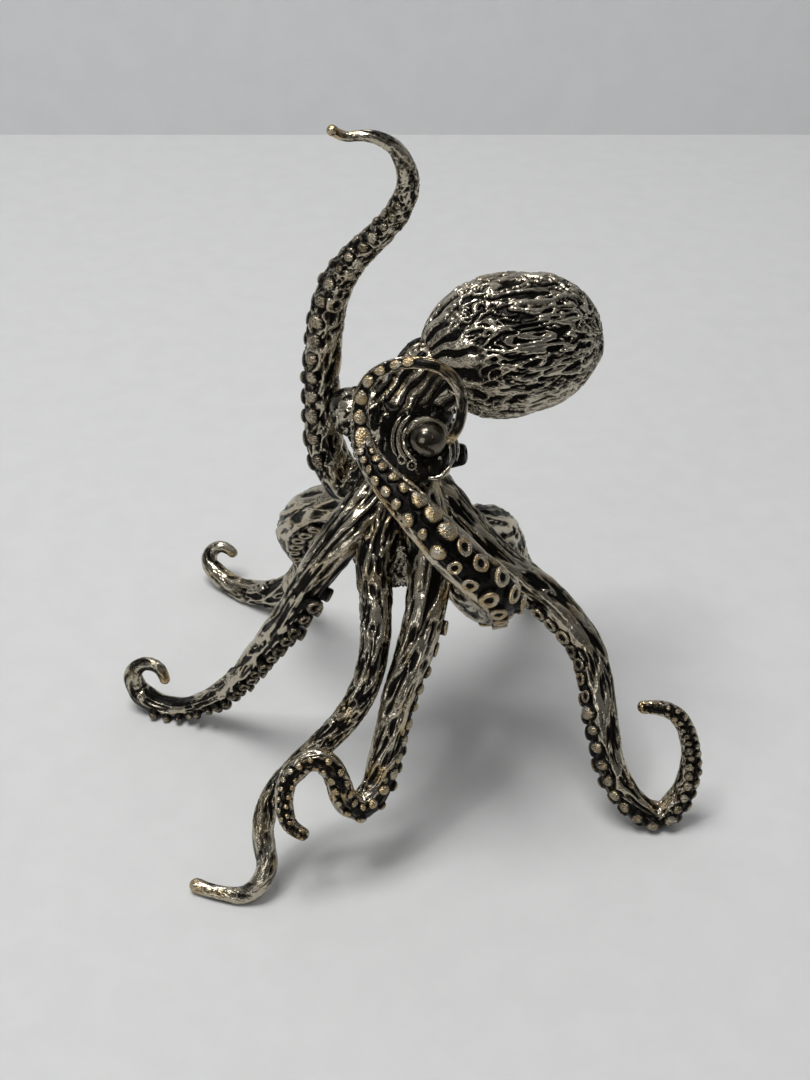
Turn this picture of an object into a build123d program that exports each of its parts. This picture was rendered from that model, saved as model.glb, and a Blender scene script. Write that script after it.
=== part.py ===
"""Cast metal octopus figurine: a bulb-shaped mantle, a head with two eyes and a funnel, and eight arms.

Each arm, the mantle, the eyes and the funnel are castings of their own, soldered into sockets of the head.
Millimetres, +Z up. X runs across the front view and Y away from the viewer.
"""
import math
import os

from build123d import *

os.makedirs("parts", exist_ok=True)

# Overall sizes. Places below are shares of figure_height, thicknesses are shares of arm_radius.
figure_height = 56.0  # table to the top of the raised arm
arm_radius = 2.0

# Joints between the castings
solder_gap = 0.05
tenon_radius = 0.75
tenon_length = 2.0

# Head
web_radius = 4.9
web_height = 11.5
shoulder_radius = 2.6
skull_radius = 4.2
skull_half_height = 5.0
nape_radius = 3.3
near_turret_radius = 2.5
far_turret_radius = 1.9

# Eyes, mantle and funnel
eye_radius = 1.5
mantle_radius = 5.6
mantle_neck_radius = 2.2
mantle_length = 14.0
mantle_tenon_radius = 1.1
mantle_tenon_length = 2.2
funnel_radius = 0.75
funnel_lip_radius = 0.6
funnel_bore = 0.3
funnel_length = 2.4
funnel_bore_depth = 0.9

web_bottom_shares = (-0.005, 0.010, 0.300)
crown_shares = (-0.005, 0.012, 0.495)
skull_shares = (-0.004, 0.027, 0.552)
near_turret_shares = (0.026, -0.025, 0.550)
near_eye_shares = (0.031, -0.045, 0.577)
far_turret_shares = (-0.070, 0.011, 0.589)
far_eye_shares = (-0.080, 0.023, 0.591)
nape_shares = (0.021, 0.043, 0.630)
neck_shares = (0.040, 0.047, 0.655)
mantle_direction_shares = (0.935, 0.25, 0.06)
funnel_shares = (0.055, 0.006, 0.520)
funnel_direction_shares = (0.95, -0.15, 0.15)

# Outlines of the turned forms: (share along the axis, share of the radius)
web_outline_shares = [(0.03, 0.50), (0.12, 0.84), (0.28, 1.0), (0.50, 0.96), (0.75, 0.84), (0.94, 0.60)]
mantle_outline_shares = [
    (0.05, 0.60), (0.17, 0.85), (0.29, 0.96), (0.42, 1.0),
    (0.58, 0.97), (0.72, 0.89), (0.86, 0.68), (0.95, 0.42),
]

# Suckers stand in pairs on the oral side: rings on the thick part of an arm, beads further out.
# Their sizes are shares of the arm's radius where they stand.
ring_shares = 0.20
ring_wire_shares = 0.13
ring_rise_shares = 0.05
bead_shares = 0.32
sucker_spacing_shares = 1.15
sucker_clearance_shares = 0.5
sucker_angle = 29.0
least_ringed_arm_radius = 1.35
least_beaded_arm_radius = 0.70

# Arm routes from root to tip: (across, away, up) in figure heights, thickness in arm radii.
route_shares = {
    "arm_raised": [
        (-0.098, 0.056, 0.455, 0.82), (-0.115, 0.061, 0.495, 0.78), (-0.121, 0.068, 0.555, 0.71),
        (-0.120, 0.073, 0.615, 0.69), (-0.115, 0.077, 0.675, 0.69), (-0.106, 0.078, 0.725, 0.67),
        (-0.088, 0.075, 0.770, 0.59), (-0.060, 0.070, 0.809, 0.52), (-0.028, 0.064, 0.845, 0.48),
        (-0.005, 0.059, 0.880, 0.45), (0.004, 0.054, 0.915, 0.42), (-0.002, 0.050, 0.945, 0.36),
        (-0.016, 0.046, 0.968, 0.29), (-0.035, 0.045, 0.980, 0.24), (-0.056, 0.045, 0.983, 0.20),
        (-0.078, 0.045, 0.982, 0.18), (-0.094, 0.045, 0.990, 0.17),
    ],
    "arm_back_left": [
        (-0.086, 0.086, 0.388, 0.89), (-0.132, 0.118, 0.356, 0.88), (-0.167, 0.152, 0.308, 0.85),
        (-0.178, 0.194, 0.246, 0.78), (-0.164, 0.234, 0.176, 0.69), (-0.178, 0.272, 0.104, 0.67),
        (-0.222, 0.312, 0.044, 0.65), (-0.275, 0.345, 0.020, 0.58), (-0.314, 0.373, 0.017, 0.52),
        (-0.342, 0.396, 0.028, 0.45), (-0.355, 0.411, 0.044, 0.38), (-0.347, 0.419, 0.060, 0.33),
        (-0.328, 0.418, 0.066, 0.28), (-0.312, 0.413, 0.058, 0.25),
    ],
    "arm_left": [
        (-0.098, -0.064, 0.408, 0.86), (-0.130, -0.073, 0.363, 0.75), (-0.155, -0.070, 0.316, 0.68),
        (-0.183, -0.060, 0.262, 0.62), (-0.219, -0.040, 0.196, 0.57), (-0.258, -0.014, 0.124, 0.53),
        (-0.296, 0.009, 0.068, 0.49), (-0.335, 0.025, 0.032, 0.46), (-0.374, 0.037, 0.014, 0.44),
        (-0.409, 0.047, 0.016, 0.43), (-0.433, 0.056, 0.031, 0.40), (-0.443, 0.061, 0.056, 0.34),
        (-0.434, 0.060, 0.081, 0.27), (-0.414, 0.052, 0.095, 0.23), (-0.395, 0.043, 0.091, 0.20),
        (-0.387, 0.036, 0.076, 0.18),
    ],
    "arm_front_left": [
        (-0.043, -0.106, 0.392, 0.68), (-0.041, -0.145, 0.353, 0.61), (-0.043, -0.178, 0.318, 0.56),
        (-0.051, -0.204, 0.285, 0.54), (-0.067, -0.224, 0.252, 0.53), (-0.091, -0.238, 0.221, 0.51),
        (-0.120, -0.250, 0.193, 0.49), (-0.149, -0.262, 0.168, 0.48), (-0.176, -0.277, 0.144, 0.46),
        (-0.196, -0.296, 0.119, 0.44), (-0.203, -0.315, 0.093, 0.43), (-0.200, -0.333, 0.067, 0.42),
        (-0.198, -0.349, 0.045, 0.40), (-0.210, -0.362, 0.026, 0.38), (-0.234, -0.366, 0.011, 0.34),
        (-0.262, -0.361, 0.009, 0.30), (-0.288, -0.353, 0.010, 0.27), (-0.300, -0.348, 0.011, 0.28),
    ],
    "arm_front": [
        (0.036, -0.110, 0.402, 0.87), (0.027, -0.160, 0.350, 0.80), (0.013, -0.190, 0.309, 0.73),
        (-0.003, -0.214, 0.272, 0.69), (-0.013, -0.231, 0.238, 0.66), (-0.021, -0.247, 0.205, 0.64),
        (-0.030, -0.264, 0.172, 0.64), (-0.042, -0.284, 0.142, 0.61), (-0.063, -0.303, 0.127, 0.56),
        (-0.083, -0.312, 0.144, 0.50), (-0.092, -0.313, 0.174, 0.48), (-0.100, -0.310, 0.199, 0.46),
        (-0.117, -0.306, 0.216, 0.43), (-0.140, -0.306, 0.211, 0.40), (-0.159, -0.312, 0.194, 0.37),
        (-0.168, -0.324, 0.171, 0.35), (-0.168, -0.337, 0.147, 0.33), (-0.159, -0.347, 0.129, 0.29),
        (-0.143, -0.354, 0.121, 0.25),
    ],
    "arm_right": [
        (0.076, -0.004, 0.416, 0.87), (0.112, -0.018, 0.378, 0.82), (0.157, -0.032, 0.340, 0.78),
        (0.203, -0.044, 0.309, 0.74), (0.241, -0.061, 0.276, 0.70), (0.268, -0.082, 0.245, 0.67),
        (0.282, -0.104, 0.216, 0.64), (0.288, -0.127, 0.187, 0.63), (0.293, -0.149, 0.156, 0.63),
        (0.299, -0.168, 0.122, 0.62), (0.309, -0.185, 0.087, 0.60), (0.329, -0.199, 0.051, 0.57),
        (0.355, -0.209, 0.027, 0.56), (0.384, -0.212, 0.018, 0.55), (0.408, -0.207, 0.042, 0.50),
        (0.422, -0.198, 0.080, 0.43), (0.424, -0.191, 0.120, 0.38), (0.415, -0.188, 0.160, 0.35),
        (0.399, -0.188, 0.191, 0.33), (0.378, -0.188, 0.207, 0.30), (0.356, -0.188, 0.211, 0.26),
        (0.346, -0.188, 0.211, 0.24),
    ],
    "arm_curled": [
        (0.075, -0.054, 0.358, 0.88), (0.107, -0.112, 0.356, 0.90), (0.128, -0.166, 0.390, 0.91),
        (0.114, -0.201, 0.440, 0.89), (0.084, -0.207, 0.476, 0.86), (0.050, -0.199, 0.512, 0.80),
        (0.012, -0.174, 0.545, 0.69), (-0.015, -0.150, 0.563, 0.60), (-0.038, -0.123, 0.577, 0.50),
        (-0.053, -0.102, 0.592, 0.42), (-0.060, -0.086, 0.614, 0.36), (-0.061, -0.075, 0.640, 0.32),
        (-0.057, -0.070, 0.664, 0.29), (-0.046, -0.068, 0.686, 0.26), (-0.026, -0.070, 0.704, 0.24),
        (0.000, -0.073, 0.714, 0.22), (0.027, -0.079, 0.716, 0.22), (0.050, -0.084, 0.710, 0.22),
        (0.066, -0.089, 0.696, 0.22), (0.075, -0.093, 0.675, 0.21), (0.076, -0.096, 0.651, 0.20),
        (0.071, -0.098, 0.629, 0.19), (0.061, -0.099, 0.611, 0.18),
    ],
    "arm_back_right": [
        (0.045, 0.080, 0.330, 0.80), (0.074, 0.134, 0.304, 0.76), (0.117, 0.176, 0.288, 0.73),
        (0.150, 0.214, 0.258, 0.71), (0.173, 0.252, 0.200, 0.68), (0.192, 0.295, 0.124, 0.65),
        (0.221, 0.332, 0.057, 0.61), (0.256, 0.338, 0.023, 0.56), (0.284, 0.304, 0.016, 0.50),
        (0.302, 0.254, 0.014, 0.43), (0.319, 0.205, 0.012, 0.34),
    ],
}

# Which way the suckers look at chosen shares of an arm's length
facing_shares = {
    "arm_raised": [
        (0.0, (-0.8, -0.6, 0.0)), (0.5, (-0.9, -0.4, 0.2)),
        (0.75, (-0.8, -0.3, -0.5)), (1.0, (0.0, -0.3, -1.0)),
    ],
    "arm_back_left": [(0.0, (0.0, -0.3, -1.0)), (0.5, (0.7, -0.5, -0.5)), (1.0, (0.0, 0.3, -1.0))],
    "arm_left": [
        (0.0, (0.5, -0.5, -0.8)), (0.55, (0.5, -0.6, -0.7)),
        (0.8, (-0.4, -0.7, -0.6)), (1.0, (-0.5, -0.7, 0.5)),
    ],
    "arm_front_left": [
        (0.0, (-0.2, 0.5, -0.9)), (0.5, (-0.5, 0.3, -0.9)),
        (0.75, (-0.9, -0.2, -0.4)), (1.0, (0.0, 0.6, -0.8)),
    ],
    "arm_front": [
        (0.0, (0.7, 0.1, -0.7)), (0.4, (0.95, -0.2, -0.4)),
        (0.6, (0.4, -0.9, 0.0)), (1.0, (-0.2, -0.9, 0.3)),
    ],
    "arm_right": [
        (0.0, (-0.5, -0.3, -0.8)), (0.45, (-0.8, -0.4, -0.4)),
        (0.7, (0.1, -0.8, -0.6)), (1.0, (0.4, -0.85, 0.4)),
    ],
    "arm_curled": [
        (0.0, (0.3, -0.1, -1.0)), (0.14, (0.7, -0.6, -0.4)),
        (0.26, (0.1, -0.85, 0.5)), (1.0, (0.0, -0.85, 0.5)),
    ],
    "arm_back_right": [(0.0, (0.0, -0.4, -0.9)), (0.6, (-0.4, 0.0, -0.9)), (1.0, (0.0, 0.0, -1.0))],
}
# Where the sucker rows start, a share of the arm's length
first_sucker_shares = {
    "arm_raised": 0.06, "arm_back_left": 0.10, "arm_left": 0.12, "arm_front_left": 0.14, "arm_front": 0.12,
    "arm_right": 0.12, "arm_curled": 0.08, "arm_back_right": 0.14,
}
# Ball at an arm's end, a share of the thickness there
tip_ball_shares = {
    "arm_raised": 1.25, "arm_back_left": 1.0, "arm_left": 1.0, "arm_front_left": 1.08, "arm_front": 1.05,
    "arm_right": 1.0, "arm_curled": 1.15, "arm_back_right": 1.0,
}
standing_arms = ["arm_back_left", "arm_left", "arm_front_left", "arm_right", "arm_back_right"]
# Sections of an arm that lie close to the head
socket_sections = 7


def place(shares):
    """A point given in shares of the figure's height."""
    return Vector(*shares) * figure_height


def facing(name, share):
    """Direction in which the suckers look at a share of the arm's length."""
    stops = facing_shares[name]
    for (start, first), (end, second) in zip(stops, stops[1:]):
        if share <= end:
            mix = (share - start) / (end - start)
            return Vector(*first) * (1 - mix) + Vector(*second) * mix
    return Vector(*stops[-1][1])


def route_of(name):
    """The arm's centre line as an edge, with the share of its length and the radius at each given point."""
    points = [place(row[:3]) for row in route_shares[name]]
    edge = Edge.make_spline(points)
    stops = [edge.param_at_point(point) for point in points]
    radii = [row[3] * arm_radius for row in route_shares[name]]
    return edge, stops, radii


def radius_at(share, stops, radii):
    """Radius of the arm at a share of its length, between the given points."""
    for index in range(len(stops) - 1):
        if share <= stops[index + 1]:
            mix = (share - stops[index]) / (stops[index + 1] - stops[index])
            return radii[index] * (1 - mix) + radii[index + 1] * mix
    return radii[-1]


def section_plane(edge, share, side):
    """Plane across the arm at a share of its length, with its X axis turned to one side."""
    along = edge % share
    return Plane(origin=edge @ share, x_dir=side - along * side.dot(along), z_dir=along)


def stations(name):
    """Planes and radii of the arm's sections: at the given points and halfway between them."""
    edge, stops, radii = route_of(name)
    shares = [stops[0]]
    for start, end in zip(stops, stops[1:]):
        shares += [(start + end) / 2, end]
    planes = [section_plane(edge, shares[0], facing(name, shares[0]))]
    for share in shares[1:]:
        planes.append(section_plane(edge, share, planes[-1].x_dir))
    return [(plane, radius_at(share, stops, radii)) for plane, share in zip(planes, shares)]


def suckers_of(name):
    """The arm's suckers, in pairs from the root outwards, none where they would meet the table."""
    edge, stops, radii = route_of(name)
    share = first_sucker_shares[name]
    radius = radius_at(share, stops, radii)
    found = []
    while share < 1 and radius > least_beaded_arm_radius:
        section = section_plane(edge, share, facing(name, share))
        for side in (-1, 1):
            turn = math.radians(side * sucker_angle)
            outward = section.x_dir * math.cos(turn) + section.y_dir * math.sin(turn)
            skin = Plane(origin=section.origin + outward * radius, z_dir=outward)
            if skin.origin.Z < radius * sucker_clearance_shares:
                continue
            if radius > least_ringed_arm_radius:
                ring = Torus(radius * ring_shares, radius * ring_wire_shares, mode=Mode.PRIVATE)
                found.append(skin.offset(radius * ring_rise_shares).location * ring)
            else:
                found.append(skin.location * Sphere(radius * bead_shares, mode=Mode.PRIVATE))
        share += sucker_spacing_shares * radius / edge.length
        radius = radius_at(min(share, 1), stops, radii)
    return found


def tapered_tube(sections, margin=0):
    """A tube through the sections, grown by a margin all round and behind its root."""
    root_plane, root_radius = sections[0]
    with BuildPart() as tube:
        for plane, radius in [(root_plane.offset(-margin), root_radius), *sections[1:]]:
            with BuildSketch(plane):
                Circle(radius + margin)
        loft()
    return tube.part


def root_pin(plane, margin=0):
    """The pin behind an arm's root, grown all round by a margin."""
    pin = Cylinder(
        tenon_radius + margin, tenon_length + margin,
        align=(Align.CENTER, Align.CENTER, Align.MAX), mode=Mode.PRIVATE,
    )
    return plane.location * pin


def shoulder_of(name):
    """The part of the head that runs down from the crown into one arm's root, flush with the arm."""
    root_plane, root_radius = stations(name)[0]
    crown = place(crown_shares)
    outward = root_plane.origin - crown
    path = Edge.make_spline(
        [root_plane.origin, crown],
        tangents=[-root_plane.z_dir, Vector(-outward.X, -outward.Y, outward.length)],
    )
    side = root_plane.x_dir
    with BuildPart() as form:
        for share in (0, 0.5, 1):
            section = section_plane(path, share, side)
            side = section.x_dir
            with BuildSketch(section):
                Circle(root_radius + (shoulder_radius - root_radius) * share)
        loft()
    return form.part


def mantle_form(margin=0):
    """The turned bulb of the mantle with the pin behind its neck, grown all round by a margin."""
    points = [
        (along * mantle_length, out * mantle_radius + margin) for along, out in mantle_outline_shares
    ]
    with BuildPart() as form:
        with BuildSketch(mantle_plane):
            with BuildLine():
                Polyline((mantle_length + margin, 0), (-margin, 0), (-margin, mantle_neck_radius + margin))
                Spline(
                    (-margin, mantle_neck_radius + margin), *points, (mantle_length + margin, 0),
                    tangents=[(1, 1), (0, -1)],
                )
            make_face()
        revolve(axis=Axis(mantle_plane.origin, mantle_plane.x_dir))
        with Locations(neck_plane):
            Cylinder(
                mantle_tenon_radius + margin, mantle_tenon_length + margin,
                align=(Align.CENTER, Align.CENTER, Align.MAX),
            )
    return form.part


def funnel_form(margin=0):
    """The tapering funnel, grown all round by a margin."""
    cone = Cone(
        funnel_radius + margin, funnel_lip_radius + margin, funnel_length + margin,
        align=(Align.CENTER, Align.CENTER, Align.MIN), mode=Mode.PRIVATE,
    )
    return funnel_plane.location * cone


mantle_plane = Plane(
    origin=place(neck_shares), x_dir=mantle_direction_shares,
    z_dir=Vector(*mantle_direction_shares).cross(Vector(0, 0, 1)),
)
neck_plane = Plane(origin=place(neck_shares), z_dir=mantle_direction_shares)
funnel_plane = Plane(origin=place(funnel_shares), z_dir=funnel_direction_shares)

# Arms
arms = {}
for name in route_shares:
    sections = stations(name)
    with BuildPart() as arm:
        add(tapered_tube(sections))
        add(root_pin(sections[0][0]))
        with Locations(sections[-1][0]):
            Sphere(sections[-1][1] * tip_ball_shares[name])
        add(suckers_of(name))
        if name in standing_arms:
            # Filed flat where it stands on the table
            Box(
                2 * figure_height, 2 * figure_height, figure_height,
                align=(Align.CENTER, Align.CENTER, Align.MAX), mode=Mode.SUBTRACT,
            )
    arms[name] = arm.part

# Mantle
with BuildPart() as mantle:
    add(mantle_form())

# Eyes
with BuildPart() as near_eye:
    with Locations(place(near_eye_shares)):
        Sphere(eye_radius)
with BuildPart() as far_eye:
    with Locations(place(far_eye_shares)):
        Sphere(eye_radius)

# Funnel, bored at its mouth
with BuildPart() as funnel:
    add(funnel_form())
    with Locations(funnel_plane.offset(funnel_length)):
        Cylinder(
            funnel_bore, funnel_bore_depth,
            align=(Align.CENTER, Align.CENTER, Align.MAX), mode=Mode.SUBTRACT,
        )

# Head: skull, nape and eye turrets, with the web and shoulders below that run into the arms
with BuildPart() as web:
    with BuildSketch(Plane.XZ):
        with BuildLine():
            Line((0, web_height), (0, 0))
            Spline(
                (0, 0),
                *[(out * web_radius, up * web_height) for up, out in web_outline_shares],
                (0, web_height),
                tangents=[(1, 0), (-1, 0)],
            )
        make_face()
    revolve(axis=Axis.Z)
with BuildPart() as skull:
    with BuildSketch(Plane.XZ):
        Ellipse(skull_radius, skull_half_height)
        Rectangle(skull_radius, 2 * skull_half_height, align=(Align.MAX, Align.CENTER), mode=Mode.SUBTRACT)
    revolve(axis=Axis.Z)
with BuildPart() as head:
    add(Location(place(web_bottom_shares)) * web.part)
    add(Location(place(skull_shares)) * skull.part)
    with Locations(place(nape_shares)):
        Sphere(nape_radius)
    with Locations(place(near_turret_shares)):
        Sphere(near_turret_radius)
    with Locations(place(far_turret_shares)):
        Sphere(far_turret_radius)
    add([shoulder_of(name) for name in route_shares])
    add([mantle_form(solder_gap), funnel_form(solder_gap)], mode=Mode.SUBTRACT)
    with Locations(place(near_eye_shares), place(far_eye_shares)):
        Sphere(eye_radius + solder_gap, mode=Mode.SUBTRACT)
    for name in route_shares:
        sections = stations(name)
        add(tapered_tube(sections[:socket_sections], solder_gap), mode=Mode.SUBTRACT)
        add(root_pin(sections[0][0], solder_gap), mode=Mode.SUBTRACT)

# All pieces, moved so that the origin lies at the bottom centre of the whole figure
pieces = {
    "head": head.part, "mantle": mantle.part, "near_eye": near_eye.part, "far_eye": far_eye.part,
    "funnel": funnel.part, **arms,
}
whole = Compound(children=[Compound(part.wrapped) for part in pieces.values()]).bounding_box()
to_center = Location((-whole.center().X, -whole.center().Y, 0))
for name, part in pieces.items():
    placed = part.moved(to_center)
    placed.label = name
    export_step(placed, f"parts/{name}.step")
    print(name, round(part.volume, 2))
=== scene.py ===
"""Looks of the cast metal octopus figurine: wrinkled castings with a dark patina and worn high spots.

Shapes are worked out in millimetres, in the figure's own frame, and moved into the row frame in metres.
The middle of the castings' relief lies on the solids' surface: 0 is a pit and 1 the top of a ridge.
"""

import math
from collections import namedtuple
from functools import cache
from itertools import product

import bpy
import numpy as np
import openvdb
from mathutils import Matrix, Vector
from numpy.linalg import norm


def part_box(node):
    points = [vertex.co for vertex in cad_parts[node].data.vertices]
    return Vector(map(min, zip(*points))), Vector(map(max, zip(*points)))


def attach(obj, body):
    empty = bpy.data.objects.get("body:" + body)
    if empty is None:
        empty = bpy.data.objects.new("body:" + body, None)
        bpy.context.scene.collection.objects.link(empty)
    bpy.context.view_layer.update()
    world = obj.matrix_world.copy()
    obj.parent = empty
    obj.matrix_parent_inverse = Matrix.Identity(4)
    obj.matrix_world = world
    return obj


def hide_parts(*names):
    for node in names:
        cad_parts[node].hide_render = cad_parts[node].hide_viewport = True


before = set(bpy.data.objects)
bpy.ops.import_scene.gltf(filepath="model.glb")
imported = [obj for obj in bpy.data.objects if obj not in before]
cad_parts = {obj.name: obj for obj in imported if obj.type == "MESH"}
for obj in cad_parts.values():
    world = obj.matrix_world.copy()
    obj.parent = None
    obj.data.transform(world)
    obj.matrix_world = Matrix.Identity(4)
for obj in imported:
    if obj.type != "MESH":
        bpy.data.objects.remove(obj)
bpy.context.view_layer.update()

# Camera, in degrees and millimetres
elevation = math.radians(35)
camera_target = (0.0, 0.0, 21.0)
camera_distance = 135.0
focal_length = 54
sensor_width = 36

# Sizes in millimetres, as in the part's source: places are shares of the figure's height
figure_height = 56.0
arm_radius = 2.0
skull_radii = (4.2, 4.2, 5.0)
nape_radius = 3.05
near_turret_radius = 2.5
far_turret_radius = 1.9
shoulder_radius = 2.6
web_radius = 4.9
web_half_height = 5.75
eye_radius = 1.5
mantle_radius = 5.6
mantle_length = 14.0
funnel_length = 2.4
web_shares = (-0.005, 0.010, 0.403)
crown_shares = (-0.005, 0.012, 0.495)
skull_shares = (-0.004, 0.027, 0.552)
near_turret_shares = (0.026, -0.025, 0.550)
near_eye_shares = (0.031, -0.045, 0.577)
far_turret_shares = (-0.070, 0.011, 0.589)
far_eye_shares = (-0.080, 0.023, 0.591)
nape_shares = (0.037, 0.044, 0.628)
neck_shares = (0.040, 0.047, 0.655)
mantle_direction_shares = (0.935, 0.25, 0.06)
funnel_shares = (0.055, 0.006, 0.520)
funnel_direction_shares = (0.95, -0.15, 0.15)

# Outline of the mantle: (share along the axis, share of the radius)
mantle_outline_shares = [
    (-0.06, 0.10), (-0.03, 0.36), (0.05, 0.62), (0.17, 0.85), (0.29, 0.96), (0.42, 1.0),
    (0.58, 0.97), (0.72, 0.89), (0.86, 0.68), (0.95, 0.42), (1.0, 0.0),
]

# Arm routes from root to tip: (across, away, up) in thousandths of the figure's height, and the thickness
# there in hundredths of the arms' radius
arm_routes = {
    "arm_raised": [
        (-98, 56, 455, 82), (-115, 61, 495, 78), (-121, 68, 555, 71), (-120, 73, 615, 69),
        (-115, 77, 675, 69), (-106, 78, 725, 67), (-88, 75, 770, 59), (-60, 70, 809, 52),
        (-28, 64, 845, 48), (-5, 59, 880, 45), (4, 54, 915, 42), (-2, 50, 945, 36), (-16, 46, 968, 29),
        (-35, 45, 980, 24), (-56, 45, 983, 20), (-78, 45, 982, 18), (-94, 45, 990, 17),
    ],
    "arm_back_left": [
        (-86, 86, 388, 89), (-132, 118, 356, 88), (-167, 152, 308, 85), (-178, 194, 246, 78),
        (-164, 234, 176, 69), (-178, 272, 104, 67), (-222, 312, 44, 65), (-275, 345, 20, 58),
        (-314, 373, 17, 52), (-342, 396, 28, 45), (-355, 411, 44, 38), (-347, 419, 60, 33),
        (-328, 418, 66, 28), (-312, 413, 58, 25),
    ],
    "arm_left": [
        (-98, -64, 408, 86), (-130, -73, 363, 75), (-155, -70, 316, 68), (-183, -60, 262, 62),
        (-219, -40, 196, 57), (-258, -14, 124, 53), (-296, 9, 68, 49), (-335, 25, 32, 46),
        (-374, 37, 14, 44), (-409, 47, 16, 43), (-433, 56, 31, 40), (-443, 61, 56, 34),
        (-434, 60, 81, 27), (-414, 52, 95, 23), (-395, 43, 91, 20), (-387, 36, 76, 18),
    ],
    "arm_front_left": [
        (-43, -106, 392, 68), (-41, -145, 353, 61), (-43, -178, 318, 56), (-51, -204, 285, 54),
        (-67, -224, 252, 53), (-91, -238, 221, 51), (-120, -250, 193, 49), (-149, -262, 168, 48),
        (-176, -277, 144, 46), (-196, -296, 119, 44), (-203, -315, 93, 43), (-200, -333, 67, 42),
        (-198, -349, 45, 40), (-210, -362, 26, 38), (-234, -366, 11, 34), (-262, -361, 9, 30),
        (-288, -353, 10, 27), (-300, -348, 11, 28),
    ],
    "arm_front": [
        (36, -110, 402, 87), (27, -160, 350, 80), (13, -190, 309, 73), (-3, -214, 272, 69),
        (-13, -231, 238, 66), (-21, -247, 205, 64), (-30, -264, 172, 64), (-42, -284, 142, 61),
        (-63, -303, 127, 56), (-83, -312, 144, 50), (-92, -313, 174, 48), (-100, -310, 199, 46),
        (-117, -306, 216, 43), (-140, -306, 211, 40), (-159, -312, 194, 37), (-168, -324, 171, 35),
        (-168, -337, 147, 33), (-159, -347, 129, 29), (-143, -354, 121, 25),
    ],
    "arm_right": [
        (76, -4, 416, 87), (112, -18, 378, 82), (157, -32, 340, 78), (203, -44, 309, 74),
        (241, -61, 276, 70), (268, -82, 245, 67), (282, -104, 216, 64), (288, -127, 187, 63),
        (293, -149, 156, 63), (299, -168, 122, 62), (309, -185, 87, 60), (329, -199, 51, 57),
        (355, -209, 27, 56), (384, -212, 18, 55), (408, -207, 42, 50), (422, -198, 80, 43),
        (424, -191, 120, 38), (415, -188, 160, 35), (399, -188, 191, 33), (378, -188, 207, 30),
        (356, -188, 211, 26), (346, -188, 211, 24),
    ],
    "arm_curled": [
        (75, -54, 358, 88), (107, -112, 356, 90), (128, -166, 390, 91), (114, -201, 440, 89),
        (84, -207, 476, 86), (50, -199, 512, 80), (12, -174, 545, 69), (-15, -150, 563, 60),
        (-38, -123, 577, 50), (-53, -102, 592, 42), (-60, -86, 614, 36), (-61, -75, 640, 32),
        (-57, -70, 664, 29), (-46, -68, 686, 26), (-26, -70, 704, 24), (0, -73, 714, 22),
        (27, -79, 716, 22), (50, -84, 710, 22), (66, -89, 696, 22), (75, -93, 675, 21),
        (76, -96, 651, 20), (71, -98, 629, 19), (61, -99, 611, 18),
    ],
    "arm_back_right": [
        (45, 80, 330, 80), (74, 134, 304, 76), (117, 176, 288, 73), (150, 214, 258, 71),
        (173, 252, 200, 68), (192, 295, 124, 65), (221, 332, 57, 61), (256, 338, 23, 56),
        (284, 304, 16, 50), (302, 254, 14, 43), (319, 205, 12, 34),
    ],
}
# Which way the suckers look: (share of the arm's length, across, away, up)
facings = {
    "arm_raised": [
        (0.0, -0.8, -0.6, 0.0), (0.5, -0.9, -0.4, 0.2), (0.75, -0.8, -0.3, -0.5), (1.0, 0.0, -0.3, -1.0),
    ],
    "arm_back_left": [(0.0, 0.0, -0.3, -1.0), (0.5, 0.7, -0.5, -0.5), (1.0, 0.0, 0.3, -1.0)],
    "arm_left": [
        (0.0, 0.5, -0.5, -0.8), (0.55, 0.5, -0.6, -0.7), (0.8, -0.4, -0.7, -0.6), (1.0, -0.5, -0.7, 0.5),
    ],
    "arm_front_left": [
        (0.0, -0.2, 0.5, -0.9), (0.5, -0.5, 0.3, -0.9), (0.75, -0.9, -0.2, -0.4), (1.0, 0.0, 0.6, -0.8),
    ],
    "arm_front": [
        (0.0, 0.7, 0.1, -0.7), (0.4, 0.95, -0.2, -0.4), (0.6, 0.4, -0.9, 0.0), (1.0, -0.2, -0.9, 0.3),
    ],
    "arm_right": [
        (0.0, -0.5, -0.3, -0.8), (0.45, -0.8, -0.4, -0.4), (0.7, 0.1, -0.8, -0.6), (1.0, 0.4, -0.85, 0.4),
    ],
    "arm_curled": [
        (0.0, 0.3, -0.1, -1.0), (0.14, 0.7, -0.6, -0.4), (0.26, 0.1, -0.85, 0.5), (1.0, 0.0, -0.85, 0.5),
    ],
    "arm_back_right": [(0.0, 0.0, -0.4, -0.9), (0.6, -0.4, 0.0, -0.9), (1.0, 0.0, 0.0, -1.0)],
}
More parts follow.
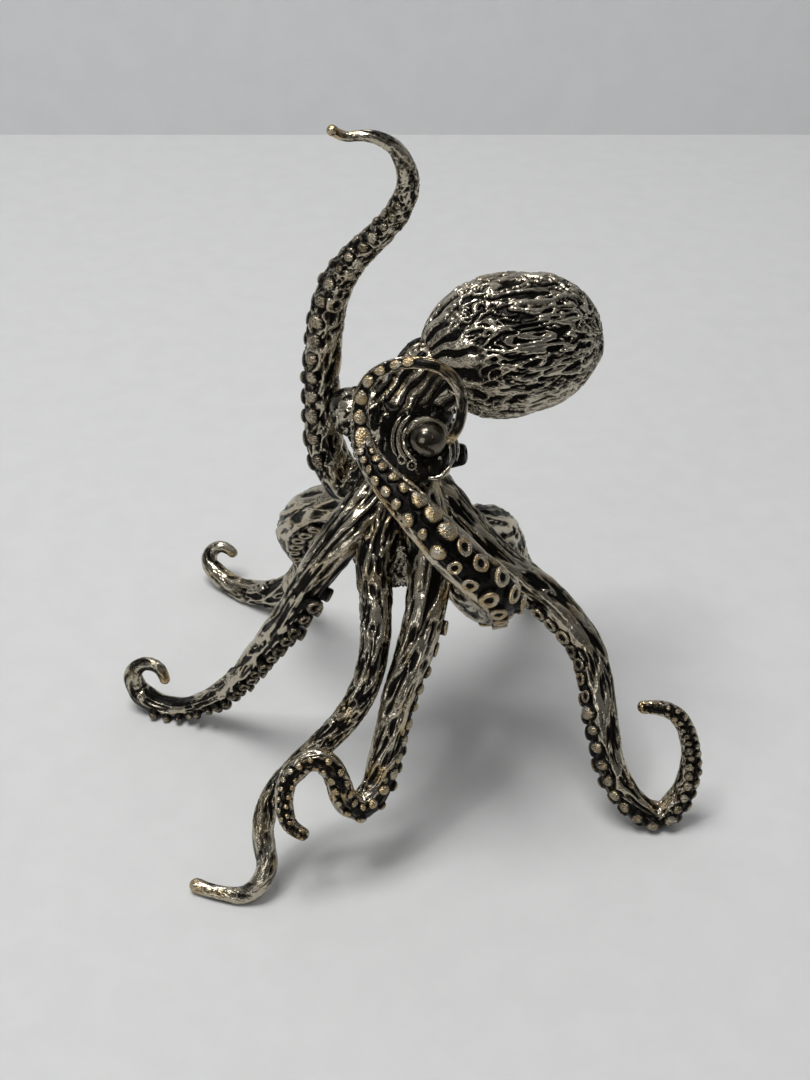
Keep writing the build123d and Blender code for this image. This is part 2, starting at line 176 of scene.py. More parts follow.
# Looks of each arm: where its suckers start, turn to beads and end at the rubbed tip, in shares of its
# length. The ball at its tip, in shares of the thickness there, and the suckers' radius, height and
# spacing, in shares of the arm's. How golden it is and how bright its suckers are. The length, width and
# ridges of its wrinkles, how dark the oral side is and how high that side's edges stand.
ArmLooks = namedtuple("ArmLooks", [
    "first_sucker", "tip_ball", "size", "height", "spacing", "beads_from", "gold", "shine", "rubbed_from",
    "long", "wide", "ridge", "dark", "edge",
])
arm_looks = {
    "arm_raised": ArmLooks(0.06, 1.25, 0.46, 0.22, 1.20, 0.0, 0.3, 0.62, 0.72, 2.0, 0.84, 0.18, 0.25, 0.55),
    "arm_back_left": ArmLooks(0.10, 1.0, 0.38, 0.28, 1.05, 0.6, 0.3, 0.75, 0.68, 5.0, 0.80, 0.17, 0.6, 0.55),
    "arm_left": ArmLooks(0.12, 1.0, 0.46, 0.50, 1.22, 0.5, 0.25, 0.58, 0.76, 5.5, 0.70, 0.17, 0.6, 0.55),
    "arm_front_left": ArmLooks(0.14, 1.08, 0.34, 0.22, 1.25, 0.0, 0.5, 0.7, 0.60, 3.4, 0.62, 0.17, 0.6, 0.55),
    "arm_front": ArmLooks(0.12, 1.05, 0.38, 0.24, 1.10, 0.2, 0.8, 0.85, 0.96, 4.4, 0.66, 0.21, 0.6, 0.55),
    "arm_right": ArmLooks(0.12, 1.0, 0.50, 0.30, 1.12, 0.45, 0.4, 0.66, 0.95, 5.5, 0.80, 0.17, 0.6, 0.55),
    "arm_curled": ArmLooks(0.08, 1.15, 0.43, 0.28, 0.94, 0.36, 0.8, 1.0, 0.79, 4.5, 0.60, 0.17, 0.9, 1.0),
    "arm_back_right": ArmLooks(0.14, 1.0, 0.40, 0.28, 1.10, 0.5, 0.1, 0.75, 0.90, 3.0, 0.8, 0.17, 0.6, 0.55),
}
standing_arms = ["arm_back_left", "arm_left", "arm_front_left", "arm_right", "arm_back_right"]
single_row_arms = ["arm_curled", "arm_raised"]
scaly_arm = "arm_raised"
swollen_arm = "arm_left"
smallest_ball_share = 1.06


def place(shares):
    """A point given in shares of the figure's height, in millimetres."""
    return np.array(shares, float) * figure_height


eye_low, eye_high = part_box("near_eye")
near_eye = place(near_eye_shares)
shift = np.array([(low + high) / 2 * 1000 for low, high in zip(eye_low, eye_high)]) - near_eye


def unit(v):
    """Vectors scaled to length one."""
    return v / np.maximum(norm(v, axis=-1, keepdims=True), 1e-9)


def smooth(low, high, x):
    """0 below low, 1 above high, with a soft step between them."""
    t = np.clip((x - low) / (high - low), 0, 1)
    return t * t * (3 - 2 * t)


def turns(count):
    """Angles evenly spaced round a whole turn."""
    return np.linspace(0, 2 * np.pi, count, endpoint=False)


def bell(x, width):
    """1 at 0, falling off to both sides."""
    return np.exp(-(x / width) ** 2)


# Gradient noise

noise_gain = 1.6


@cache
def lattice(seed):
    """Shuffled order and gradients of one noise."""
    rng = np.random.default_rng(seed)
    return np.tile(rng.permutation(256), 3), unit(rng.normal(size=(256, 3)))


def noise(p, seed):
    """Smooth noise of about -1 to 1 at points p."""
    order, gradients = lattice(seed)
    cell = np.floor(p).astype(int)
    f = p - cell
    u = f * f * f * (f * (f * 6 - 15) + 10)
    total = np.zeros(len(p))
    for corner in product((0, 1), repeat=3):
        x, y, z = ((cell + corner) & 255).T
        gradient = gradients[order[order[order[x] + y] + z]]
        total += np.abs(1 - np.array(corner) - u).prod(1) * (gradient * (f - corner)).sum(1)
    return total * noise_gain


# The network of ridges: how its lines wander and fray, where a ridge begins and ends in shares of its
# width, and the second, finer set of lines.
warp_scale = (0.6, 0.8, 0.8)
warp_reach = 0.45
broad_scale = (0.45, 0.4, 0.4)
fray_scale = (2.2, 2.4, 2.4)
fray_depth = 0.22
swelling = 0.5
first_top, first_foot = 0.35, 2.1
second_scale = (1.25, 1.5, 1.5)
second_offset = 31
second_swelling = 0.2
second_top, second_foot = 0.15, 1.2
second_height = 0.85


def bark(q, seed, width):
    """Relief of the casting at stretched coordinates q: wavy linked ridges near 1 and pits near 0."""
    warp = np.stack([noise(q * warp_scale, seed + k) for k in (1, 2, 3)], 1)
    bent = q + warp_reach * warp
    broad = noise(q * broad_scale, seed + 6)
    lines = np.abs(noise(bent, seed) + fray_depth * noise(bent * fray_scale, seed + 4))
    first = 1 - smooth(first_top * width, first_foot * width, lines - swelling * width * broad)
    lines = np.abs(noise(bent * second_scale + second_offset, seed + 5) + second_swelling * broad)
    second = second_height * (1 - smooth(second_top * width, second_foot * width, lines))
    return np.maximum(first, second)


# Meshes


class Pieces:
    """Gathers meshes of quads, each with its relief, flow and wear, that become one object."""

    def __init__(self):
        self.parts = []
        self.count = 0

    def add(self, points, quads, relief, flow, wear):
        size = len(points)
        quads = np.asarray(quads) + self.count
        self.parts.append((points, quads, np.broadcast_to(relief, size), flow, np.broadcast_to(wear, size)))
        self.count += size
        return self

    def build(self, node, material):
        """The object, from points in figure millimetres, standing for a CAD node."""
        points, quads, relief, flow, wear = (np.concatenate(column) for column in zip(*self.parts))
        if node in standing_arms:
            points[:, 2] = np.maximum(points[:, 2], 0.0)
        mesh = bpy.data.meshes.new("cast_" + node)
        mesh.vertices.add(len(points))
        mesh.vertices.foreach_set("co", ((points + shift) * 0.001).astype(np.float32).ravel())
        quads = quads.astype(np.int32)
        mesh.loops.add(quads.size)
        mesh.loops.foreach_set("vertex_index", quads.ravel())
        mesh.polygons.add(len(quads))
        mesh.polygons.foreach_set("loop_start", np.arange(0, quads.size, 4, dtype=np.int32))
        mesh.update(calc_edges=True)
        mesh.validate()
        mesh.polygons.foreach_set("use_smooth", np.ones(len(mesh.polygons), bool))
        for key, values in (("relief", relief), ("wear", wear)):
            data = mesh.attributes.new(key, "FLOAT", "POINT").data
            data.foreach_set("value", values.astype(np.float32))
        data = mesh.attributes.new("flow", "FLOAT_VECTOR", "POINT").data
        data.foreach_set("vector", flow.astype(np.float32).ravel())
        mesh.materials.append(material)
        piece = bpy.data.objects.new("cast_" + node, mesh)
        bpy.context.scene.collection.objects.link(piece)
        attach(piece, "root")
        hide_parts(node)


def grid_quads(rows, columns):
    """Quads of a tube of rows rings with columns points each."""
    i = np.arange(rows - 1)[:, None] * columns
    j = np.arange(columns)[None, :]
    k = (j + 1) % columns
    return np.stack([i + j, i + k, i + columns + k, i + columns + j], -1).reshape(-1, 4)


# Samples that measure a spline's length, and the angle that the last ring of a ball keeps from its pole
spline_samples = 4000
pole_gap = 0.02


def natural_spline(points, count):
    """Even points of a smooth curve through given ones, their shares of its length, and its length."""
    points = np.asarray(points, float)
    t = np.concatenate([[0], np.cumsum(norm(np.diff(points, axis=0), axis=1))])
    h = np.diff(t)
    n = len(points)
    a = np.zeros((n, n))
    b = np.zeros((n, points.shape[1]))
    a[0, 0] = a[-1, -1] = 1
    for i in range(1, n - 1):
        a[i, i - 1], a[i, i], a[i, i + 1] = h[i - 1], 2 * (h[i - 1] + h[i]), h[i]
        b[i] = 6 * ((points[i + 1] - points[i]) / h[i] - (points[i] - points[i - 1]) / h[i - 1])
    m = np.linalg.solve(a, b)

    def at(x):
        i = np.clip(np.searchsorted(t, x) - 1, 0, n - 2)
        lo, hi = (t[i + 1] - x)[:, None], (x - t[i])[:, None]
        w = h[i][:, None]
        return (
            m[i] * lo ** 3 / (6 * w) + m[i + 1] * hi ** 3 / (6 * w)
            + (points[i] / w - m[i] * w / 6) * lo + (points[i + 1] / w - m[i + 1] * w / 6) * hi
        )

    fine = np.linspace(0, t[-1], spline_samples)
    length = np.concatenate([[0], np.cumsum(norm(np.diff(at(fine), axis=0), axis=1))])
    even = np.interp(np.linspace(0, length[-1], count), length, fine)
    return at(even), np.interp(t, fine, length) / length[-1], length[-1]


def ball(center, radius, out, side, other, rows, columns):
    """Points of a ball, ring by ring from the pole that out points at."""
    down = np.linspace(pole_gap, np.pi - pole_gap, rows)[:, None, None]
    around = turns(columns)[None, :, None]
    direction = np.cos(down) * out + np.sin(down) * (np.cos(around) * side + np.sin(around) * other)
    return (direction * radius).reshape(-1, 3) + center


def facing_at(name, shares):
    """Directions in which the arm's suckers look at shares of its length."""
    stops, *directions = np.array(facings[name]).T
    return np.stack([np.interp(shares, stops, values) for values in directions], 1)


def blurred(values, width):
    """Rows averaged over their neighbours."""
    kernel = np.hanning(width + 2)[1:-1]
    kernel /= kernel.sum()
    padded = np.concatenate([np.repeat(values[:1], width, 0), values, np.repeat(values[-1:], width, 0)])
    out = np.stack([np.convolve(padded[:, k], kernel, "same") for k in range(values.shape[1])], 1)
    return out[width:-width]


# Arms: their rings' spacing, the shoulder's stations that lead into them, the lengths over which thickness
# and facing are evened out, and the curled end that is fuller.
ring_spacing = 0.115
shoulder_stations = 15
lead_stations = slice(11, 0, -3)
thickness_blur = 1.6
facing_blur = 2.4
end_swelling = 0.28
end_swelling_shares = (0.72, 0.86)


def route(name):
    """Points and radii of an arm, in millimetres."""
    table = np.array(arm_routes[name]) / (1000, 1000, 1000, 100)
    return place(table[:, :3]), table[:, 3] * arm_radius


def shoulder_line(name):
    """Centre line and radii of the head's shoulder for one arm, from the arm's root up to the crown."""
    points, radii = route(name)
    root, after = points[:2]
    crown = place(crown_shares)
    outward = root - crown
    reach = norm(outward)
    start = unit(root - after)
    end = unit(np.array([-outward[0], -outward[1], reach]))
    t = np.linspace(0, 1, shoulder_stations)[:, None]
    line = (
        (2 * t ** 3 - 3 * t ** 2 + 1) * root + (t ** 3 - 2 * t ** 2 + t) * reach * start
        + (3 * t ** 2 - 2 * t ** 3) * crown + (t ** 3 - t ** 2) * reach * end
    )
    return line, radii[0] * (1 - t[:, 0]) + shoulder_radius * t[:, 0]


class Arm:
    """Centre line, frames and radii of one arm, with the head's shoulder that leads into it."""

    def __init__(self, name):
        points, given = (
            np.concatenate([lead[lead_stations], own]) for lead, own in zip(shoulder_line(name), route(name))
        )
        _, stops, self.length = natural_spline(points, 2)
        self.name = name
        self.looks = arm_looks[name]
        self.count = int(self.length / ring_spacing) + 1
        self.centers, _, _ = natural_spline(points, self.count)
        self.root_share = stops[len(points) - len(arm_routes[name])]
        self.root = int(round(self.root_share * (self.count - 1)))
        self.shares = np.linspace(0, 1, self.count)
        radii = np.interp(self.shares, stops, given)
        self.radii = blurred(radii[:, None], int(thickness_blur / ring_spacing))[:, 0]
        if name == swollen_arm:
            self.radii = self.radii * (1 + end_swelling * smooth(*end_swelling_shares, self.shares))
        self.along = unit(np.gradient(self.centers, axis=0))
        side = facing_at(name, self.own_share(self.shares))
        side = side - self.along * (side * self.along).sum(1, keepdims=True)
        side = blurred(unit(side), int(facing_blur / ring_spacing))
        self.side = unit(side - self.along * (side * self.along).sum(1, keepdims=True))
        self.other = np.cross(self.along, self.side)

    def own_share(self, share):
        """Share of the arm's own length, without its shoulder, for a share of the whole."""
        return np.clip((share - self.root_share) / (1 - self.root_share), 0, 1)


# Profiles of a sucker: (share of its radius, share of its height, relief)
cup_profile = [
    (1.05, -0.70, 0.0), (0.98, 0.00, 0.0), (0.92, 0.45, 0.15), (0.96, 0.80, 0.85), (0.90, 1.00, 1.0),
    (0.74, 1.08, 1.0), (0.52, 0.98, 0.9), (0.36, 0.70, 0.05), (0.18, 0.50, 0.0), (0.03, 0.48, 0.0),
]
bead_profile = [
    (1.05, -0.80, 0.0), (1.02, 0.00, 0.0), (0.98, 0.35, 0.15), (0.86, 0.75, 0.55), (0.66, 1.02, 0.95),
    (0.44, 1.18, 1.0), (0.24, 1.25, 1.0), (0.12, 1.27, 1.0), (0.04, 1.28, 1.0),
]
sucker_points = 16
oval, three_sided = 0.07, 0.05
sucker_lean = 0.10
# The metal's grain is finer on small pieces
sucker_grain = 3
ball_grain = 2

# Where suckers sit: angle from the middle of the oral side, shares of the arm's radius, and the radii below
# which there is a single row, there are only beads, or there is nothing. In a single row they are larger,
# longer and further apart.
sucker_angle = math.radians(29)
sucker_seat = 0.92
sucker_stagger = 0.18
lowest_sucker = 0.35
single_row_radius = 0.78
bead_radius = 0.7
bare_radius = 0.40
last_sucker_share = 0.985
rubbed_overlap = 0.02
single_row = (1.9, 1.35, 2.6)
# How irregular they are
turn_jitter, size_jitter, height_jitter, place_jitter = 0.06, 0.10, 0.15, 0.04
shine_low, shine_range = 0.85, 0.3


def add_sucker(pieces, center, out, along, size, height, stretch, profile, rng, wear, shine):
    """One sucker, a short post with a rimmed cup or a bead, a little irregular."""
    side = np.cross(out, along)
    angles = turns(sucker_points)
    phase = rng.random(2) * 6
    wobble = 1 + oval * np.sin(2 * angles + phase[0]) + three_sided * np.sin(3 * angles + phase[1])
    circle = (np.cos(angles) * wobble)[:, None] * side + (np.sin(angles) * wobble * stretch)[:, None] * along
    lean = (rng.normal() * side + rng.normal() * along) * sucker_lean
    points = np.concatenate([
        center + circle * size * wide + (out + lean) * height * high for wide, high, _ in profile
    ])
    relief = np.repeat([shown * shine for _, _, shown in profile], sucker_points)
    pieces.add(points, grid_quads(len(profile), sucker_points), relief, points * sucker_grain, wear)


def add_suckers(pieces, arm, rng):
    """Both rows of suckers on the arm's oral side, and a single row near a thin end."""
    looks = arm.looks
    own_length = arm.length * (1 - arm.root_share)
    own = looks.first_sucker
    while own < min(last_sucker_share, looks.rubbed_from + rubbed_overlap):
        share = arm.root_share + own * (1 - arm.root_share)
        index = min(int(share * (arm.count - 1)), arm.count - 1)
        radius = arm.radii[index]
        if radius < bare_radius:
            break
        single = radius < single_row_radius and arm.name in single_row_arms
        growth, stretch, gap = single_row if single else (1, 1, 1)
        profile = bead_profile if own > looks.beads_from or radius < bead_radius else cup_profile
        for sign in (0,) if single else (-1, 1):
            turn = sign * sucker_angle + rng.normal() * turn_jitter
            out = math.cos(turn) * arm.side[index] + math.sin(turn) * arm.other[index]
            size = radius * looks.size * (1 + size_jitter * rng.normal()) * growth
            height = radius * looks.height * (1 + height_jitter * rng.normal())
            stagger = arm.along[index] * (sign * sucker_stagger * radius + rng.normal() * place_jitter)
            center = arm.centers[index] + out * radius * sucker_seat + stagger
            if center[2] > lowest_sucker * radius:
                shine = looks.shine * (shine_low + shine_range * rng.random())
                shape = (arm.along[index], size, height, stretch, profile)
                add_sucker(pieces, center, out, *shape, rng, looks.gold, shine)
        own += looks.spacing * radius * gap / own_length


def add_ball(pieces, center, radius, wear, rows, columns):
    """A polished ball."""
    side, other, out = np.eye(3)
    points = ball(center, radius, out, side, other, rows, columns)
    relief = 0.75 + 0.25 * noise(points * 2.5, 91)
    pieces.add(points, grid_quads(rows, columns), relief, points * ball_grain, wear)


# Skin of the arms: spacing of its columns in rings', and the relief that lies on the solids' surface
columns_share = 0.85
end_rings = 8
middle_relief = 0.55
scale_spiral = 0.45
tip_ball_wear = 0.8


def arm_surface(arm, seed):
    """Points, relief, flow and wear of the arm's skin from the crown to the tip, row by row."""
    full_radius, limits, wrinkle_height, lump_size, lump_height = 1.2, (0.35, 1.15), 0.24, 1.5, 0.08
    rub_depth, rub_reach, dent_scale, dent_level, dent_depth = 0.72, 0.12, (2.2, 0.5, 0.5), 0.70, 0.9
    oral_edge, edge_angle, edge_width, edge_height = (0.95, 0.55), 1.22, 0.11, 0.07
    edge_wander, wander_scale = 0.12, (2.5, 50, 50)
    wear_patch, wear_edges, tip_wear, tip_edges = 2.7, (-0.3, 0.5), 0.9, (0.965, 1.0)
    looks = arm.looks
    columns = int(2 * np.pi * arm.radii[arm.root:].max() * columns_share / ring_spacing)
    angle = turns(columns)
    ends = np.linspace(0.5 * np.pi, pole_gap, end_rings + 1)[1:]
    reach = np.cos(ends) * arm.radii[-1]
    centers = np.concatenate([arm.centers, arm.centers[-1] + arm.along[-1] * reach[:, None]])
    radii = np.concatenate([arm.radii, np.sin(ends) * arm.radii[-1]])
    side, other = (np.concatenate([v, np.repeat(v[-1:], end_rings, 0)]) for v in (arm.side, arm.other))
    rows = len(centers)
    c, s = np.cos(angle)[None, :], np.sin(angle)[None, :]
    length = np.repeat(np.concatenate([arm.shares * arm.length, arm.length + reach]), columns)
    flow = np.stack([length, (radii[:, None] * c).ravel(), (radii[:, None] * s).ravel()], 1)
    broad = np.clip(np.repeat(radii, columns) / full_radius, *limits)
    q = flow / (np.array([looks.long, looks.wide, looks.wide]) * broad[:, None])
    if arm.name == scaly_arm:
        q[:, 1] += scale_spiral * length
    relief = bark(q + seed * 7.3, 10 + 8 * seed, looks.ridge)
    own = arm.own_share(length / arm.length)
    rubbed = rub_depth * smooth(looks.rubbed_from, looks.rubbed_from + rub_reach, own)
    dents = dent_level + dent_depth * noise(flow / dent_scale + seed, 58)
    relief = relief * (1 - rubbed) + np.clip(dents, 0, 1) * rubbed
    around = np.tile(np.arccos(np.clip(np.cos(angle), -1, 1)), rows)
    relief = relief * (1 - looks.dark * smooth(*oral_edge, around) * (1 - rubbed))
    wander = edge_wander * noise(flow / wander_scale + seed, 95)
    edge = looks.edge * bell(around - edge_angle - wander, edge_width)
    relief = np.maximum(relief, edge)
    lumps = noise(flow / lump_size + seed, 40 + seed)
    rise = broad * (wrinkle_height * (relief - middle_relief) + lump_height * lumps + edge_height * edge)
    out = (c[..., None] * side[:, None, :] + s[..., None] * other[:, None, :]).reshape(-1, 3)
    points = np.repeat(centers, columns, 0) + out * (np.repeat(radii, columns) + rise)[:, None]
    wear = looks.gold * smooth(*wear_edges, noise(points / wear_patch, 77))
    wear = np.maximum(wear, tip_wear * smooth(*tip_edges, own))
    return columns, rows, points, relief, flow, wear


def add_rows(pieces, surface, first, last):
    """Adds the rings first to last of an arm's skin."""
    columns, _, points, relief, flow, wear = surface
    part = slice(first * columns, (last + 1) * columns)
    pieces.add(points[part], grid_quads(last - first + 1, columns), relief[part], flow[part], wear[part])


def build_arm(name, seed, material):
    """One arm with its wrinkles, suckers and end. Gives back its shoulder's surface for the head."""
    arm = Arm(name)
    surface = arm_surface(arm, seed)
    pieces = Pieces()
    add_rows(pieces, surface, arm.root, surface[1] - 1)
    add_suckers(pieces, arm, np.random.default_rng(seed))
    if arm.looks.tip_ball > smallest_ball_share:
        add_ball(pieces, arm.centers[-1], arm.radii[-1] * arm.looks.tip_ball, tip_ball_wear, 18, 26)
    pieces.build(name, material)
    return surface, arm.root


# Low bumps on the mantle: (place, width, height)
mantle_bumps = [((0.120, 0.070, 0.580), 0.85, 0.75), ((0.020, 0.052, 0.700), 0.8, 0.5)]


def build_mantle(material):
    """The wrinkled bulb, with long ridges that run from the neck into it."""
    rows, columns = 230, 330
    wrinkle_scale, ridge_width = (3.2, 0.68, 0.68), 0.16
    full_radius, limits = 4.5, (0.45, 1.15)
    rise_height, lump_width, lump_rise = 0.34, 2.2, 0.16
    neck_ridges, ridge_edges, bend_reach, bend_scale = 15, (-0.75, 0.25), 3.0, (3.0, 1.6, 1.6)
    neck_strength, neck_edges, neck_wander = 0.9, (0.24, 0.06), 0.14
    axis = unit(np.array(mantle_direction_shares))
    across = unit(np.cross(axis, (0, 0, 1)))
    up = np.cross(across, axis)
    profile, _, arc = natural_spline(np.array(mantle_outline_shares) * (mantle_length, mantle_radius), rows)
    profile[:, 1] = np.maximum(profile[:, 1], 0.01)
    angle = turns(columns)
    c, s = np.cos(angle)[None, :], np.sin(angle)[None, :]
    length = np.repeat(np.linspace(0, arc, rows), columns)
    flow = np.stack([length, (profile[:, 1:] * c).ravel(), (profile[:, 1:] * s).ravel()], 1)
    along, wide = np.repeat(profile, columns, 0).T
    relief = bark(flow / wrinkle_scale, 160, ridge_width)
    slope = np.repeat(unit(np.gradient(profile, axis=0)), columns, 0)
    radial = np.tile((c[..., None] * up + s[..., None] * across).reshape(-1, 3), (rows, 1))
    out = -slope[:, 1:] * axis + slope[:, :1] * radial
    points = place(neck_shares) + along[:, None] * axis + wide[:, None] * radial
    bend = bend_reach * noise(flow / bend_scale, 66)
    long_ridges = smooth(*ridge_edges, np.cos(neck_ridges * np.tile(angle, rows) + bend))
    neck = neck_strength * smooth(*neck_edges, along / mantle_length + neck_wander * noise(flow / 2.0, 67))
    relief = relief * (1 - neck) + long_ridges * neck
    rise = rise_height * (relief - middle_relief) * np.clip(wide / full_radius, *limits)
    rise = rise + lump_rise * noise(points / lump_width, 64)
    for bump, width, height in mantle_bumps:
        rise = rise + height * bell(norm(points - place(bump), axis=1), width)
    points = points + out * rise[:, None]
    gold = 0.15 * smooth(0.0, 0.7, noise(points / 4.0, 78))
    Pieces().add(points, grid_quads(rows, columns), relief, flow, gold).build("mantle", material)


def soft_union(a, b, blend):
    """Distance to two forms joined with a fillet."""
    h = np.clip(0.5 + 0.5 * (b - a) / blend, 0, 1)
    return b * (1 - h) + a * h - blend * h * (1 - h)


def ball_distance(p, center, radii):
    """Rough distance to a ball or ellipsoid."""
    radii = np.broadcast_to(np.asarray(radii, float), (3,))
    return (norm((p - center) / radii, axis=-1) - 1) * radii.min()


def chain_distance(p, line, radii):
    """Distance to a chain of round cones."""
    best = np.full(p.shape[:-1], 1e3)
    for a, b, ra, rb in zip(line, line[1:], radii, radii[1:]):
        d = b - a
        t = np.clip(((p - a) @ d) / (d @ d), 0, 1)
        away = norm(p - (a + t[..., None] * d), axis=-1) - (ra + (rb - ra) * t)
        best = np.minimum(best, away)
    return best


# The head's skin, drawn round distances on a grid. Its shoulders are a little thinner than the arms' skins,
# which lie over them.
head_cell = 0.265
head_low, head_high = np.array([-9.5, -9.5, 13.5]), np.array([8.5, 9.0, 39.5])
skull_fillet, web_fillet, shoulder_fillet = 0.9, 1.2, 0.8
shoulder_thinning = 0.86
first_station = 3
eye_socket_radius = 1.52
distance_limit = 3.0


def grid_points(low, cell, sizes):
    """Points of a regular grid."""
    axes = [low[k] + cell * np.arange(sizes[k]) for k in range(3)]
    return np.stack(np.meshgrid(*axes, indexing="ij"), -1)


def head_skin():
    """Points and quads of the head: skull, nape, turrets, web and shoulders in one blended skin."""
    sizes = np.ceil((head_high - head_low) / head_cell).astype(int)
    p = grid_points(head_low, head_cell, sizes).astype(np.float32)
    body = ball_distance(p, place(skull_shares), skull_radii)
    for center, radii, fillet in (
        (nape_shares, nape_radius, skull_fillet),
        (near_turret_shares, near_turret_radius, skull_fillet),
        (far_turret_shares, far_turret_radius, skull_fillet),
        (web_shares, (web_radius, web_radius, web_half_height), web_fillet),
    ):
        body = soft_union(body, ball_distance(p, place(center), radii), fillet)
    for name in arm_routes:
        line, radii = shoulder_line(name)
        away = chain_distance(p, line[first_station:], radii[first_station:] * shoulder_thinning)
        body = soft_union(body, away, shoulder_fillet)
    body = np.maximum(body, eye_socket_radius - norm(p - near_eye, axis=-1))
    grid = openvdb.FloatGrid(background=distance_limit)
    grid.copyFromArray(np.clip(body, -distance_limit, distance_limit).astype(np.float32))
    points, quads = grid.convertToQuads(isovalue=0.0)
    return points.astype(float) * head_cell + head_low, quads.astype(np.int32)


def refined(points, quads):
    """The mesh with every quad split in four, and its normals."""
    mesh = bpy.data.meshes.new("skin")
    mesh.from_pydata(points.tolist(), [], quads[:, ::-1].tolist())
    skin = bpy.data.objects.new("skin", mesh)
    bpy.context.scene.collection.objects.link(skin)
    skin.modifiers.new("finer", "SUBSURF").levels = 1
    evaluated = skin.evaluated_get(bpy.context.evaluated_depsgraph_get()).to_mesh()
    fine, normals = np.empty((2, len(evaluated.vertices) * 3))
    corners = np.empty(len(evaluated.loops), np.int32)
    evaluated.vertices.foreach_get("co", fine)
    evaluated.vertex_normals.foreach_get("vector", normals)
    evaluated.loops.foreach_get("vertex_index", corners)
    skin.to_mesh_clear()
    bpy.data.objects.remove(skin)
    bpy.data.meshes.remove(mesh)
    return fine.reshape(-1, 3), corners.reshape(-1, 4), normals.reshape(-1, 3)


# Fibres of the head's skin: down the skull, out along the shoulders and round each eye
skull_fibres = np.array([-0.55, -0.15, -0.9])
neck_pull = 0.3
skull_fibre_height, skull_fibre_fade, fade_limit = 27.5, 1.2, 8
shoulder_weight, shoulder_reach, shoulder_falloff = 6, 1.1, 1.5
ring_weight, ring_width = 40, 0.7
near_ring_radius, far_ring_radius = 2.4, 2.0
flow_cell = 0.4
flow_low = np.array([-11.0, -11.0, 14.0])
flow_sizes = (56, 56, 70)


def head_flow(p):
    """Direction in which the head's fibres run at points p."""
    fade = np.clip((p[:, 2] - skull_fibre_height) / skull_fibre_fade, -fade_limit, fade_limit)
    total = np.exp(fade)[:, None] * unit(skull_fibres - neck_pull * unit(np.array(mantle_direction_shares)))
    for name in arm_routes:
        line, _ = shoulder_line(name)
        away = norm(p[:, None, :] - line[None], axis=-1)
        weight = np.exp(-(away.min(1) / shoulder_reach) ** shoulder_falloff)[:, None] * shoulder_weight
        total = total - weight * unit(np.gradient(line, axis=0))[away.argmin(1)]
    for eye, radius in ((near_eye, near_ring_radius), (place(far_eye_shares), far_ring_radius)):
        from_eye = p - eye
        ring = np.cross(unit(eye - place(skull_shares)), unit(from_eye))
        weight = ring_weight * bell(norm(from_eye, axis=1) - radius, ring_width)
        total = total + ring * weight[:, None]
    return unit(total)


def flow_grid():
    """The fibres' directions, worked out once on a coarse grid."""
    p = grid_points(flow_low, flow_cell, flow_sizes)
    return head_flow(p.reshape(-1, 3)).reshape(p.shape)


streak_steps = 6
streak_gain = 3.2


def streaks(p, grid, width, reach, seed):
    """Noise drawn out along the head's fibres."""
    total = noise(p / width, seed)
    flow_last = np.array(flow_sizes) - 1
    for sign in (-1, 1):
        q = p
        for _ in range(streak_steps):
            i, j, k = np.clip(np.rint((q - flow_low) / flow_cell).astype(int), 0, flow_last).T
            q = q + grid[i, j, k] * (sign * reach / streak_steps)
            total = total + noise(q / width, seed)
    return total / (2 * streak_steps + 1) * streak_gain


# Details round the near eye, in the viewer's plane: millimetres across and up from the eye ball's centre.
# Lines are (points, radii), arcs (radius, first and last angle in degrees, thickness), and the hood's points
# (radius, angle, thickness).
turret_lines = [
    ([(0.10, -2.95), (0.75, -2.95), (1.40, -2.55), (1.85, -1.95)], (0.12, 0.30, 0.30, 0.10)),
    ([(1.72, -1.75), (1.80, -1.00), (1.70, -0.30)], (0.06, 0.13, 0.07)),
    ([(2.30, -1.60), (2.42, -0.90), (2.35, -0.20), (2.05, 0.45)], (0.06, 0.14, 0.14, 0.07)),
    ([(-2.25, -1.40), (-1.90, -1.15), (-1.70, -1.60), (-2.05, -1.85), (-2.25, -1.40)],
     (0.10, 0.12, 0.12, 0.12, 0.10)),
]
lash_arcs = [(1.86, 150, 244, 0.17), (2.26, 126, 226, 0.19), (2.70, 140, 208, 0.16)]
lash_end = 0.04
hood_arc = [(1.60, 8, 0.12), (1.50, 45, 0.38), (1.42, 90, 0.50), (1.50, 130, 0.42), (1.66, 165, 0.14)]
ring_center, ring_radius, ring_thickness = (-1.20, -2.00), 0.32, 0.10
beads = [(ring_center, 0.13), ((0.95, -1.45), 0.16)]
cord_step, fewest_cord_rings, cord_columns = 0.09, 12, 12
cord_relief, detail_wear = 0.95, 0.05
sight_width = 0.22
toward_view = np.array([0.0, -math.cos(elevation), math.sin(elevation)])
up_view = np.array([0.0, math.sin(elevation), math.cos(elevation)])


def seen_at(points, across, up):
    """The point of the head's skin that the viewer sees at a place across and up from the near eye."""
    away = points - near_eye
    near = (np.abs(away[:, 0] - across) < sight_width) & (np.abs(away @ up_view - up) < sight_width)
    depth = (away[near] @ toward_view).max() if near.any() else 0.0
    return near_eye + across * np.array([1.0, 0, 0]) + up * up_view + depth * toward_view


def add_cord(pieces, line, radii):
    """A smooth rounded ridge along a line."""
    count = max(int(norm(np.diff(line, axis=0), axis=1).sum() / cord_step), fewest_cord_rings)
    centers, stops, _ = natural_spline(line, count)
    along = unit(np.gradient(centers, axis=0))
    radii = np.interp(np.linspace(0, 1, count), stops, radii)
    side = unit(np.cross(along, toward_view))
    other = np.cross(along, side)
    angle = turns(cord_columns)[None, :, None]
    ring = np.cos(angle) * side[:, None] + np.sin(angle) * other[:, None]
    points = (centers[:, None] + ring * radii[:, None, None]).reshape(-1, 3)
    pieces.add(points, grid_quads(count, cord_columns), cord_relief, points, detail_wear)


